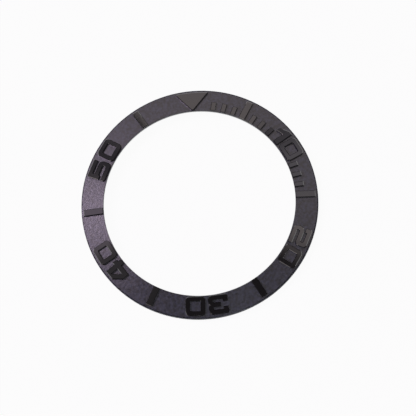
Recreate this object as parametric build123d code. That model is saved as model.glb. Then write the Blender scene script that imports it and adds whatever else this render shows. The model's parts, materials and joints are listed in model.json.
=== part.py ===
from build123d import *
import math
import os

# A watch bezel insert: a thin matt ceramic ring, coned down towards its rim,
# with polished minute marks that stand up from the cone and an adhesive ring below.
# Millimetres. The origin is the ring's centre on the plane that the adhesive sticks to,
# +Z towards the wearer, +Y at the triangle (minute 0) and +X at minute 15.

# Ring
outer_diameter = 38.0
face_width = 3.60
rim_height = 0.80
cone_rise = 0.65
rim_chamfer_width = 0.14
rim_chamfer_height = 0.08
crown_chamfer = 0.06
base_chamfer = 0.08
bore_undercut_depth = 0.35
bore_undercut_height = 0.97

# Adhesive ring under the base
adhesive_thickness = 0.15
adhesive_bore_margin = 0.60
adhesive_rim_margin = 0.50

# Relief of the marks, and the plain margins that it leaves along the bore and the rim
relief = 0.32
mark_bevel = 0.075
relief_bore_margin = 0.07
relief_rim_margin = 0.38

# Bars, ticks and triangle
bar_width = 1.06
tick_width = 0.78
tick_length = 1.50
triangle_width = 5.30
triangle_tip_width = 0.30
triangle_tip_inset = 0.06

# Numerals; the width shares are of the arc between two minutes
digit_width_share = 1.786
one_width_share = 1.144
digit_bore_margin = 0.20
digit_rim_margin = 0.37
digit_end_margin = 0.20
digit_gap = 0.52
digit_lean_share = 0.56
side_stroke = 0.76
bar_stroke = 0.72
corner_radius = 0.62
counter_corner_radius = 0.12
small_corner_radius = 0.22
hook_corner_radius = 0.36
slot_corner_share = 0.43
hook_width = 0.84

# Single digits; the slot, gap and hook shares are of the space between their strokes,
# two_arch_share is of the height of its arch, and slot_corner_share above is of a slot's own height
one_stem = 0.95
one_flag_drop = 1.50
one_flag_notch = 0.62
one_gap = 0.325
one_shift = 0.16
two_slot_share = 0.48
two_hook_share = 0.78
two_arch_share = 0.47
three_hook_share = 0.91
three_middle_inset = 1.22
three_waist = 0.22
four_stem = 0.88
four_stem_inset = 0.42
four_bar_rise = 0.55
four_bar_stroke = 0.82
four_top_stroke = 0.45
four_top_width = 1.55
four_shoulder = 0.30
five_slot_share = 0.36
five_gap_share = 0.57
five_flag_inset = 0.16
five_bowl_radius = 0.72

# Shared by all outlines that must pass right through the relief
overrun = 2.0

# The scale
minute_count = 60
degrees_per_minute = 360 / minute_count
bar_minutes = range(5, minute_count, 10)
numeral_minutes = range(10, minute_count, 10)
tick_minutes = (*range(2, 5), *range(6, 9), *range(12, 15))

# Fineness of the tests that pick vertices and edges
edge_probe_shares = (0, 0.5, 1)
touch_share = 0.01

outer_radius = outer_diameter / 2
bore_radius = outer_radius - face_width
base_z = adhesive_thickness
rim_z = base_z + rim_height
crown_z = rim_z + cone_rise
rim_edge_radius = outer_radius - rim_chamfer_width
crown_edge_radius = bore_radius + crown_chamfer
cone_slope = cone_rise / (rim_edge_radius - crown_edge_radius)
relief_inner_radius = bore_radius + relief_bore_margin
relief_outer_radius = outer_radius - relief_rim_margin

digit_height = face_width - digit_bore_margin - digit_rim_margin
digit_middle_radius = bore_radius + digit_bore_margin + digit_height / 2
minute_arc = math.radians(degrees_per_minute) * digit_middle_radius
digit_width = minute_arc * digit_width_share
one_width = minute_arc * one_width_share
slots_height = digit_height - 3 * bar_stroke


def cone_z(radius, lift=0):
    """Height of the cone, or of a surface parallel to it, at a radius."""
    return crown_z + lift - cone_slope * (radius - crown_edge_radius)


def turned(points, sweep_degrees=360):
    """Solid of revolution about Z of a closed outline in (radius, height), from +X anticlockwise."""
    outline = Polyline(*[(radius, 0, height) for radius, height in points], close=True)
    return revolve(make_face(outline), axis=Axis.Z, revolution_arc=sweep_degrees)


def ring_body():
    """The ceramic ring: flat base, bore cut back below, coned face and small chamfers."""
    return turned([
        (bore_radius + bore_undercut_depth, base_z),
        (outer_radius - base_chamfer, base_z),
        (outer_radius, base_z + base_chamfer),
        (outer_radius, rim_z - rim_chamfer_height),
        (rim_edge_radius, rim_z),
        (crown_edge_radius, crown_z),
        (bore_radius, crown_z - crown_chamfer),
        (bore_radius, base_z + bore_undercut_height),
    ])


def adhesive_ring():
    """The flat adhesive ring between the insert's base and its seat."""
    return turned([
        (bore_radius + adhesive_bore_margin, 0),
        (outer_radius - adhesive_rim_margin, 0),
        (outer_radius - adhesive_rim_margin, adhesive_thickness),
        (bore_radius + adhesive_bore_margin, adhesive_thickness),
    ])


def relief_shell(end_radius):
    """The layer that the marks fill: from the cone up to the relief's top, on the +Y half."""
    return turned([
        (relief_inner_radius, cone_z(relief_inner_radius)),
        (end_radius, cone_z(end_radius)),
        (end_radius, cone_z(end_radius, relief)),
        (relief_inner_radius, cone_z(relief_inner_radius, relief)),
    ], sweep_degrees=180)


def near(vertex, spots, distance):
    return min((Vector(*vertex) - spot).length for spot in spots) < distance


def rounded(corners):
    """Face with the given corners, each (x, y, corner radius)."""
    face = make_face(Polyline(*[(x, y) for x, y, _ in corners], close=True))
    for radius in sorted({corner[2] for corner in corners if corner[2] > 0}):
        spots = [Vector(x, y) for x, y, size in corners if size == radius]
        picked = [v for v in face.vertices() if near(v, spots, radius * touch_share)]
        face = fillet(picked, radius)
    return face


def digit_zero():
    width, height = digit_width, digit_height
    counter = RectangleRounded(width - 2 * side_stroke, height - 2 * bar_stroke, counter_corner_radius)
    return RectangleRounded(width, height, corner_radius) - counter


def digit_one():
    left, right = -one_width / 2, one_width / 2
    bottom, top = -digit_height / 2, digit_height / 2
    stem = right - one_stem
    return rounded([
        (stem, bottom, 0),
        (right, bottom, 0),
        (right, top, 0),
        (stem + one_flag_notch / 2, top, 0),
        (left, top - one_flag_drop + one_flag_notch, small_corner_radius),
        (left, top - one_flag_drop, 0),
        (stem, top - one_flag_drop + one_flag_notch / 2, 0),
    ])


def digit_two():
    left, right = -digit_width / 2, digit_width / 2
    bottom, top = -digit_height / 2, digit_height / 2
    slot_low = bottom + bar_stroke
    slot_high = slot_low + slots_height * two_slot_share
    middle_high = slot_high + bar_stroke
    hook_low = top - bar_stroke - slots_height * (1 - two_slot_share) * two_hook_share
    arch_radius = (middle_high - bottom) * two_arch_share
    low_corner = (slot_high - slot_low) * slot_corner_share
    high_corner = (top - bar_stroke - middle_high) * slot_corner_share
    return rounded([
        (left, bottom, arch_radius),
        (right, bottom, 0),
        (right, slot_low, 0),
        (left + side_stroke, slot_low, low_corner),
        (left + side_stroke, slot_high, low_corner),
        (right, slot_high, corner_radius),
        (right, top, corner_radius),
        (left, top, hook_corner_radius),
        (left, hook_low, 0),
        (left + hook_width, hook_low, 0),
        (left + hook_width, top - bar_stroke, 0),
        (right - side_stroke, top - bar_stroke, high_corner),
        (right - side_stroke, middle_high, high_corner),
        (left, middle_high, arch_radius),
    ])


def digit_three():
    left, right = -digit_width / 2, digit_width / 2
    bottom, top = -digit_height / 2, digit_height / 2
    tip = left + hook_width
    inner = right - side_stroke
    half_bar = bar_stroke / 2
    hook_end = half_bar + slots_height / 2 * (1 - three_hook_share)
    slot_corner = slots_height / 2 * slot_corner_share
    return rounded([
        (left, bottom, hook_corner_radius),
        (right, bottom, corner_radius),
        (right, -three_waist, 0),
        (right - three_waist, 0, 0),
        (right, three_waist, 0),
        (right, top, corner_radius),
        (left, top, hook_corner_radius),
        (left, hook_end, 0),
        (tip, hook_end, 0),
        (tip, top - bar_stroke, 0),
        (inner, top - bar_stroke, slot_corner),
        (inner, half_bar, slot_corner),
        (left + three_middle_inset, half_bar, 0),
        (left + three_middle_inset, -half_bar, 0),
        (inner, -half_bar, slot_corner),
        (inner, bottom + bar_stroke, slot_corner),
        (tip, bottom + bar_stroke, 0),
        (tip, -hook_end, 0),
        (left, -hook_end, 0),
    ])


def digit_four():
    left, right = -digit_width / 2, digit_width / 2
    bottom, top = -digit_height / 2, digit_height / 2
    bar_low = bottom + four_bar_rise
    bar_high = bar_low + four_bar_stroke
    stem_right = right - four_stem_inset
    stem_left = stem_right - four_stem
    top_left = stem_right - four_top_width
    shoulder = bar_high + four_shoulder
    lean = (top_left - left) / (top - shoulder)
    counter_top = top - four_top_stroke
    counter_left = stem_left - (counter_top - bar_high) * lean
    outline = rounded([
        (left, bar_low, 0),
        (stem_left, bar_low, 0),
        (stem_left, bottom, 0),
        (stem_right, bottom, 0),
        (stem_right, bar_low, 0),
        (right, bar_low, 0),
        (right, bar_high, 0),
        (stem_right, bar_high, 0),
        (stem_right, top, 0),
        (top_left, top, small_corner_radius),
        (left, shoulder, small_corner_radius),
    ])
    counter = [(counter_left, bar_high), (stem_left, bar_high), (stem_left, counter_top)]
    return outline - make_face(Polyline(*counter, close=True))


def digit_five():
    left, right = -digit_width / 2, digit_width / 2
    bottom, top = -digit_height / 2, digit_height / 2
    inner_left, inner_right = left + side_stroke, right - side_stroke
    middle_high = top - bar_stroke - slots_height * five_slot_share
    middle_low = middle_high - bar_stroke
    counter_height = slots_height * (1 - five_slot_share)
    counter_corner = counter_height * slot_corner_share
    stroke_end = bottom + bar_stroke + counter_height * five_gap_share
    return rounded([
        (left, top, small_corner_radius),
        (right - five_flag_inset, top, 0),
        (right - five_flag_inset, top - bar_stroke, 0),
        (inner_left, top - bar_stroke, 0),
        (inner_left, middle_high, 0),
        (right, middle_high, five_bowl_radius),
        (right, bottom, corner_radius),
        (left, bottom, hook_corner_radius),
        (left, bottom + bar_stroke, 0),
        (inner_right, bottom + bar_stroke, counter_corner),
        (inner_right, middle_low, counter_corner),
        (inner_left, middle_low, 0),
        (inner_left, stroke_end, 0),
        (left, stroke_end, 0),
    ])


digit_faces = (digit_zero, digit_one, digit_two, digit_three, digit_four, digit_five)


def bar_outline():
    """A long bar at minute 0, open at both ends, where the relief's own ends cut it."""
    return Pos(0, bore_radius - overrun) * Rectangle(bar_width, outer_radius, align=(Align.CENTER, Align.MIN))


def tick_outline():
    """A short tick at minute 0, from the inner end of the relief."""
    tick = Rectangle(tick_width, tick_length + overrun, align=(Align.CENTER, Align.MAX))
    return Pos(0, relief_inner_radius + tick_length) * tick


def triangle_outline():
    """The triangle at minute 0, its tip at the bore and its sides run on past the relief's end."""
    half, tip = triangle_width / 2, triangle_tip_width / 2
    corner_y = math.sqrt(relief_outer_radius**2 - half**2)
    tip_y = relief_inner_radius + triangle_tip_inset
    lean = (half - tip) / (corner_y - tip_y)
    far = half + overrun * lean
    corners = [(tip, tip_y), (far, corner_y + overrun), (-far, corner_y + overrun), (-tip, tip_y)]
    return make_face(Polyline(*corners, close=True))


def digit_outline(figure, offset):
    """One digit of a numeral at minute 0, offset to its side and leaning part of the way to radial."""
    around = math.degrees(math.atan(offset / digit_middle_radius))
    upright = Rot(0, 0, around * (1 - digit_lean_share)) * digit_faces[figure]()
    return Rot(0, 0, -around) * Pos(0, digit_middle_radius) * upright


def raised(outline, end_radius):
    """A mark that stands on the cone over its outline, with a small bevel round its top."""
    prism = extrude(outline, amount=crown_z + overrun, dir=(0, 0, 1))
    mark = prism & relief_shell(end_radius)
    top_edges = [edge for edge in mark.edges() if on_top(edge)]
    return chamfer(top_edges, mark_bevel)


def on_top(edge):
    """True for an edge that lies in the top surface of the relief."""
    points = [edge @ share for share in edge_probe_shares]
    gaps = [abs(p.Z - cone_z(math.hypot(p.X, p.Y), relief)) for p in points]
    return max(gaps) < relief * touch_share


def at_minute(minute, mark):
    """A mark made at minute 0, turned to its own minute."""
    return Rot(0, 0, -degrees_per_minute * minute) * mark


def digit_pair(tens):
    """The two digits of a numeral as (figure, offset of its middle from the minute)."""
    if tens == 1:
        left = -(one_width + one_gap + digit_width) / 2 - one_shift
        return ((tens, left + one_width / 2), (0, left + one_width + one_gap + digit_width / 2))
    offset = (digit_width + digit_gap) / 2
    return ((tens, -offset), (0, offset))


def numeral_marks():
    """Two digits a numeral, each under its own name."""
    marks = {}
    for minute in numeral_minutes:
        for figure, offset in digit_pair(minute // 10):
            digit = raised(digit_outline(figure, offset), outer_radius - digit_end_margin)
            marks[f"numeral_{minute}_digit_{figure}"] = at_minute(minute, digit)
    return marks


def straight_marks():
    """The triangle, the long bars and the short ticks."""
    bar = raised(bar_outline(), relief_outer_radius)
    tick = raised(tick_outline(), relief_outer_radius)
    marks = {"mark_triangle_00": raised(triangle_outline(), relief_outer_radius)}
    marks.update({f"mark_bar_{minute:02d}": at_minute(minute, bar) for minute in bar_minutes})
    marks.update({f"mark_tick_{minute:02d}": at_minute(minute, tick) for minute in tick_minutes})
    return marks


def main():
    os.makedirs("parts", exist_ok=True)
    pieces = {"insert_ring": ring_body(), "adhesive_ring": adhesive_ring()}
    pieces.update(straight_marks())
    pieces.update(numeral_marks())
    for name, piece in pieces.items():
        export_step(piece, f"parts/{name}.step")
        print(f"{name}: {piece.volume:.4f} mm3")


main()
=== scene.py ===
"""A ceramic bezel insert on a white ground, lit by a lamp at its left and by softboxes.

Metres, in the part's own frame: +Z up, +Y to the triangle (minute 0), +X to minute 15.
"""

import json
import math

import bpy
from mathutils import Matrix, Vector

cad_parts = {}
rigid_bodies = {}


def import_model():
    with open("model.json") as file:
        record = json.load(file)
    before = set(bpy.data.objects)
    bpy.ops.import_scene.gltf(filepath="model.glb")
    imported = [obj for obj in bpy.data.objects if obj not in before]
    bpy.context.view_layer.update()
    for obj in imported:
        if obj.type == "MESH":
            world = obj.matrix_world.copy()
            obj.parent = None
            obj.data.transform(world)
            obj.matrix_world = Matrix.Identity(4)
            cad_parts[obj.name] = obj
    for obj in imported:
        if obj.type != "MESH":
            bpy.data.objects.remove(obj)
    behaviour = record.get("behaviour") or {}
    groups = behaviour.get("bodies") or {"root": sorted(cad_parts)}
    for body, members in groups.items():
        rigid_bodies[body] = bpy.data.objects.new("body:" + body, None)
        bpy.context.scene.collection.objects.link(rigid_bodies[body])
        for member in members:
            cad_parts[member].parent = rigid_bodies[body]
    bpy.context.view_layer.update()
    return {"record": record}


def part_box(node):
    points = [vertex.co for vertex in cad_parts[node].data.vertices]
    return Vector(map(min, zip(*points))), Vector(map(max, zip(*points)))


MM = 0.001

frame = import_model()
ring_low, ring_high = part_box("insert_ring")

# The photograph's camera, looking at the ring's middle on its base plane
AZIMUTH = math.radians(8.11)
ELEVATION = math.radians(73.55)
ROLL = math.radians(-12.68)
DISTANCE = 900 * MM
CLIP_START = 9 * MM
CLIP_END = 9000 * MM
SENSOR_MM = 36
PHOTO_WIDTH = 416
FOCAL_PIXELS = 5616
RING_CENTRE_PIXEL = (200.0, 205.3)
AIM = Vector((0, 0, ring_low.z))

# Matt ceramic. Scales are features per metre, and a band is the part of a noise that spans 0 to 1
GRAIN_SCALE = 2600
GRAIN_DETAIL = 3
GRAIN_BAND = (0.25, 0.75)
GRAIN_HEIGHT = 0.010 * MM
GRAIN_STRENGTH = 1.0
SHADE_SCALE = 2200
SHADE_DETAIL = 4
SHADE_BAND = (0.36, 0.64)
MATT_COLOURS = ((0.000, 0.000, 0.004), (0.032, 0.037, 0.064))
MATT_ROUGHNESS = (0.27, 0.39)
MATT_IOR = 2.15

# The ring's finer rim edge, and its rougher outer wall
RIM_EDGE_WIDTH = 0.14 * MM
RIM_EDGE_ROUGHNESS = 0.15
OUTER_WALL_DEPTH = 0.015 * MM
OUTER_WALL_ROUGHNESS = 0.85

# Polished ceramic
RIPPLE_SCALE = 1500
RIPPLE_DETAIL = 2
RIPPLE_HEIGHT = 0.002 * MM
RIPPLE_STRENGTH = 0.5
POLISHED_COLOURS = ((0.004, 0.0038, 0.0038), (0.008, 0.0074, 0.0072))
POLISHED_ROUGHNESS = (0.05, 0.09)
POLISHED_IOR = 2.3

# Adhesive film
FIBRE_SCALE = 4000
FIBRE_DETAIL = 5
FIBRE_HEIGHT = 0.010 * MM
FIBRE_STRENGTH = 0.4
FILM_COLOURS = ((0.50, 0.48, 0.42), (0.62, 0.60, 0.54))
FILM_ROUGHNESS = (0.55, 0.70)

# Floor
FLOOR_REACH = 3.0
FLOOR_COLOUR = (0.85, 0.85, 0.85)
FLOOR_ROUGHNESS = 0.9
FLOOR_WHITE_SHARE = 0.95

# Lamp
LAMP_DIRECTION = Vector((-0.69, 0.26, 0.67))
LAMP_DISTANCE = 1.2
LAMP_SIZE = 0.55
LAMP_POWER = 6.6
LAMP_COLOUR = (0.95, 0.76, 1.0)

# The dark studio, and what is lit or dark in it, as round patches of the sky. Each has the x and y of
# the unit vector to its middle, its radius and softness in degrees, and its colour
SKY_COLOUR = (0.050, 0.047, 0.052)
SKY_PATCHES = (
    (0.09, 0.48, 36, 4, (0.55, 0.485, 0.49)),  # softbox behind the ring
    (0.025, -0.12, 19, 4, (0.04, 0.036, 0.04)),  # camera
    (-0.34, 0.02, 7, 4, (0.14, 0.13, 0.14)),  # gap under the lamp
    (-0.335, 0.46, 4.6, 3, (0.12, 0.11, 0.13)),  # gap behind the lamp
    (0.25, 0.48, 3.8, 2, (0.19, 0.175, 0.20)),  # gap in the softbox
    (-0.262, 0.55, 1.8, 0.7, (1.8, 1.65, 1.8)),  # brighter strip of the softbox
    (-0.237, 0.571, 1.45, 0.15, (0.05, 0.045, 0.045)),  # narrow gap beside it
    (0.15, -0.44, 12, 5, (1.5, 1.5, 1.7)),  # softbox beside the camera
    (0.30, 0.36, 5, 4, (0.42, 0.39, 0.43)),  # right end of the softbox behind the ring
    (-0.40, 0.26, 6, 3, (0.53, 0.45, 0.55)),  # its left end
    (-0.65, -0.72, 13, 5, (1.0, 0.9, 0.9)),  # low card at the front left
)


def matrix_of(x_axis, y_axis, z_axis, origin):
    """A placement from three axes and an origin."""
    rows = [(x_axis[i], y_axis[i], z_axis[i], origin[i]) for i in range(3)]
    return Matrix(rows + [(0, 0, 0, 1)])


def place_camera():
    """A long lens on the photograph's line of sight, rolled and shifted as the photograph is."""
    back = Vector((
        math.sin(AZIMUTH) * math.cos(ELEVATION),
        -math.cos(AZIMUTH) * math.cos(ELEVATION),
        math.sin(ELEVATION),
    ))
    right = Vector((0, 0, 1)).cross(back).normalized()
    up = back.cross(right)
    rolled_right = right * math.cos(ROLL) + up * math.sin(ROLL)
    rolled_up = up * math.cos(ROLL) - right * math.sin(ROLL)
    data = bpy.data.cameras.new("camera")
    data.sensor_width = SENSOR_MM
    data.lens = SENSOR_MM * FOCAL_PIXELS / PHOTO_WIDTH
    data.shift_x = (PHOTO_WIDTH / 2 - RING_CENTRE_PIXEL[0]) / PHOTO_WIDTH
    data.shift_y = (RING_CENTRE_PIXEL[1] - PHOTO_WIDTH / 2) / PHOTO_WIDTH
    data.clip_start = CLIP_START
    data.clip_end = CLIP_END
    camera = bpy.data.objects.new("camera", data)
    bpy.context.scene.collection.objects.link(camera)
    camera.matrix_world = matrix_of(rolled_right, rolled_up, back, AIM + back * DISTANCE)
    bpy.context.scene.camera = camera


def new_material(name):
    """A material with its node tree and its shader."""
    material = bpy.data.materials.new(name)
    material.use_nodes = True
    tree = material.node_tree
    return material, tree, tree.nodes["Principled BSDF"]


def place_in(tree):
    """A point's place in the part's frame."""
    return tree.nodes.new("ShaderNodeTexCoord").outputs["Object"]


def noise(tree, place, scale, detail):
    """A soft random signal with so many features per metre."""
    texture = tree.nodes.new("ShaderNodeTexNoise")
    texture.inputs["Scale"].default_value = scale
    texture.inputs["Detail"].default_value = detail
    tree.links.new(place, texture.inputs["Vector"])
    return texture.outputs["Fac"]


def spread(tree, source, low, high):
    """Maps a 0 to 1 signal to low to high."""
    node = tree.nodes.new("ShaderNodeMapRange")
    node.inputs["To Min"].default_value = low
    node.inputs["To Max"].default_value = high
    tree.links.new(source, node.inputs["Value"])
    return node.outputs["Result"]


def stretched(tree, source, low, high):
    """Maps low to high of a signal to 0 to 1, and cuts off what is beyond."""
    node = tree.nodes.new("ShaderNodeMapRange")
    node.inputs["From Min"].default_value = low
    node.inputs["From Max"].default_value = high
    tree.links.new(source, node.inputs["Value"])
    return node.outputs["Result"]


def tint(tree, source, dark, light):
    """Mixes two colours by a 0 to 1 signal."""
    node = tree.nodes.new("ShaderNodeMix")
    node.data_type = "RGBA"
    node.inputs["A"].default_value = (*dark, 1)
    node.inputs["B"].default_value = (*light, 1)
    tree.links.new(source, node.inputs["Factor"])
    return node.outputs["Result"]


def beyond(tree, place, radius):
    """1 where a point lies further than a radius from the ring's axis, and 0 elsewhere."""
    flat = tree.nodes.new("ShaderNodeVectorMath")
    flat.operation = "MULTIPLY"
    flat.inputs[1].default_value = (1, 1, 0)
    tree.links.new(place, flat.inputs[0])
    length = tree.nodes.new("ShaderNodeVectorMath")
    length.operation = "LENGTH"
    tree.links.new(flat.outputs["Vector"], length.inputs[0])
    test = tree.nodes.new("ShaderNodeMath")
    test.operation = "GREATER_THAN"
    test.inputs[1].default_value = radius
    tree.links.new(length.outputs["Value"], test.inputs[0])
    return test.outputs["Value"]


def choose(tree, switch, source, other):
    """A signal where the switch is 0, and a plain value where it is 1."""
    node = tree.nodes.new("ShaderNodeMix")
    node.data_type = "FLOAT"
    node.inputs["B"].default_value = other
    tree.links.new(source, node.inputs["A"])
    tree.links.new(switch, node.inputs["Factor"])
    return node.outputs["Result"]


def bump(tree, shader, source, height, strength):
    """Raises and sinks a surface by a signal."""
    node = tree.nodes.new("ShaderNodeBump")
    node.inputs["Distance"].default_value = height
    node.inputs["Strength"].default_value = strength
    tree.links.new(source, node.inputs["Height"])
    tree.links.new(node.outputs["Normal"], shader.inputs["Normal"])


def matt_ceramic():
    """Dark satin ceramic: fine grain, an uneven shade, a finer rim edge and a rougher outer wall."""
    material, tree, shader = new_material("matt_ceramic")
    place = place_in(tree)
    grain = stretched(tree, noise(tree, place, GRAIN_SCALE, GRAIN_DETAIL), *GRAIN_BAND)
    shade = stretched(tree, noise(tree, place, SHADE_SCALE, SHADE_DETAIL), *SHADE_BAND)
    tree.links.new(tint(tree, shade, *MATT_COLOURS), shader.inputs["Base Color"])
    rim_edge = beyond(tree, place, ring_high.x - RIM_EDGE_WIDTH)
    outer_wall = beyond(tree, place, ring_high.x - OUTER_WALL_DEPTH)
    satin = spread(tree, grain, *MATT_ROUGHNESS)
    edged = choose(tree, rim_edge, satin, RIM_EDGE_ROUGHNESS)
    walled = choose(tree, outer_wall, edged, OUTER_WALL_ROUGHNESS)
    tree.links.new(walled, shader.inputs["Roughness"])
    shader.inputs["IOR"].default_value = MATT_IOR
    bump(tree, shader, grain, GRAIN_HEIGHT, GRAIN_STRENGTH)
    return material


def polished_ceramic():
    """The same ceramic polished: near black, with faint ripples in its gloss."""
    material, tree, shader = new_material("polished_ceramic")
    ripple = noise(tree, place_in(tree), RIPPLE_SCALE, RIPPLE_DETAIL)
    tree.links.new(tint(tree, ripple, *POLISHED_COLOURS), shader.inputs["Base Color"])
    tree.links.new(spread(tree, ripple, *POLISHED_ROUGHNESS), shader.inputs["Roughness"])
    shader.inputs["IOR"].default_value = POLISHED_IOR
    bump(tree, shader, ripple, RIPPLE_HEIGHT, RIPPLE_STRENGTH)
    return material


def adhesive_film():
    """Matt double-sided film."""
    material, tree, shader = new_material("adhesive_film")
    fibres = noise(tree, place_in(tree), FIBRE_SCALE, FIBRE_DETAIL)
    tree.links.new(tint(tree, fibres, *FILM_COLOURS), shader.inputs["Base Color"])
    tree.links.new(spread(tree, fibres, *FILM_ROUGHNESS), shader.inputs["Roughness"])
    bump(tree, shader, fibres, FIBRE_HEIGHT, FIBRE_STRENGTH)
    return material


def dress_nodes():
    """Gives each CAD node its finish."""
    finishes = {
        "matt_ceramic": matt_ceramic(),
        "polished_ceramic": polished_ceramic(),
        "adhesive": adhesive_film(),
    }
    for part in frame["record"]["subparts"]:
        for material_slot in bpy.data.objects[part["node"]].material_slots:
            material_slot.material = finishes[part["material_slot"]]


def seen_directly(tree, share):
    """A share for rays from the camera and from glossy or clear surfaces, and none for the rest."""
    path = tree.nodes.new("ShaderNodeLightPath")
    signal = path.outputs["Is Camera Ray"]
    for other in ("Is Glossy Ray", "Is Transmission Ray"):
        larger = tree.nodes.new("ShaderNodeMath")
        larger.operation = "MAXIMUM"
        tree.links.new(signal, larger.inputs[0])
        tree.links.new(path.outputs[other], larger.inputs[1])
        signal = larger.outputs["Value"]
    return spread(tree, signal, 0, share)


def white_floor():
    """A white ground that keeps the ring's soft shadow."""
    mesh = bpy.data.meshes.new("floor")
    corners = [(x * FLOOR_REACH, y * FLOOR_REACH, 0) for x, y in ((-1, -1), (1, -1), (1, 1), (-1, 1))]
    mesh.from_pydata(corners, [], [(0, 1, 2, 3)])
    floor = bpy.data.objects.new("floor", mesh)
    bpy.context.scene.collection.objects.link(floor)
    material, tree, shader = new_material("floor_white")
    shader.inputs["Base Color"].default_value = (*FLOOR_COLOUR, 1)
    shader.inputs["Roughness"].default_value = FLOOR_ROUGHNESS
    white = tree.nodes.new("ShaderNodeEmission")
    mixed = tree.nodes.new("ShaderNodeMixShader")
    tree.links.new(seen_directly(tree, FLOOR_WHITE_SHARE), mixed.inputs[0])
    tree.links.new(shader.outputs[0], mixed.inputs[1])
    tree.links.new(white.outputs[0], mixed.inputs[2])
    tree.links.new(mixed.outputs[0], tree.nodes["Material Output"].inputs["Surface"])
    mesh.materials.append(material)


def left_light():
    """A round area light at the left that faces the ring."""
    data = bpy.data.lights.new("left_light", "AREA")
    data.shape = "DISK"
    data.size = LAMP_SIZE
    data.energy = LAMP_POWER
    data.color = LAMP_COLOUR
    light = bpy.data.objects.new("left_light", data)
    bpy.context.scene.collection.objects.link(light)
    towards = LAMP_DIRECTION.normalized()
    light.location = towards * LAMP_DISTANCE
    light.rotation_mode = "QUATERNION"
    light.rotation_quaternion = towards.to_track_quat("Z", "Y")


def patch_mask(tree, direction, x, y, radius, softness):
    """1 inside a round patch of the sky and 0 outside it."""
    dot = tree.nodes.new("ShaderNodeVectorMath")
    dot.operation = "DOT_PRODUCT"
    dot.inputs[1].default_value = (x, y, math.sqrt(1 - x * x - y * y))
    tree.links.new(direction, dot.inputs[0])
    mask = tree.nodes.new("ShaderNodeMapRange")
    mask.interpolation_type = "SMOOTHSTEP"
    mask.inputs["From Min"].default_value = math.cos(math.radians(radius + softness))
    mask.inputs["From Max"].default_value = math.cos(math.radians(radius - softness))
    tree.links.new(dot.outputs["Value"], mask.inputs["Value"])
    return mask.outputs["Result"]


def studio_sky():
    """The dark studio with its patches, each laid over those before it."""
    world = bpy.data.worlds.new("world")
    bpy.context.scene.world = world
    world.use_nodes = True
    tree = world.node_tree
    direction = tree.nodes.new("ShaderNodeTexCoord").outputs["Generated"]
    plain = tree.nodes.new("ShaderNodeRGB")
    signal = plain.outputs[0]
    signal.default_value = (*SKY_COLOUR, 1)
    for x, y, radius, softness, colour in SKY_PATCHES:
        mixed = tree.nodes.new("ShaderNodeMix")
        mixed.data_type = "RGBA"
        mixed.inputs["B"].default_value = (*colour, 1)
        tree.links.new(signal, mixed.inputs["A"])
        tree.links.new(patch_mask(tree, direction, x, y, radius, softness), mixed.inputs["Factor"])
        signal = mixed.outputs["Result"]
    tree.links.new(signal, tree.nodes["Background"].inputs["Color"])


place_camera()
dress_nodes()
white_floor()
studio_sky()
left_light()
bpy.context.scene.view_settings.view_transform = "Standard"
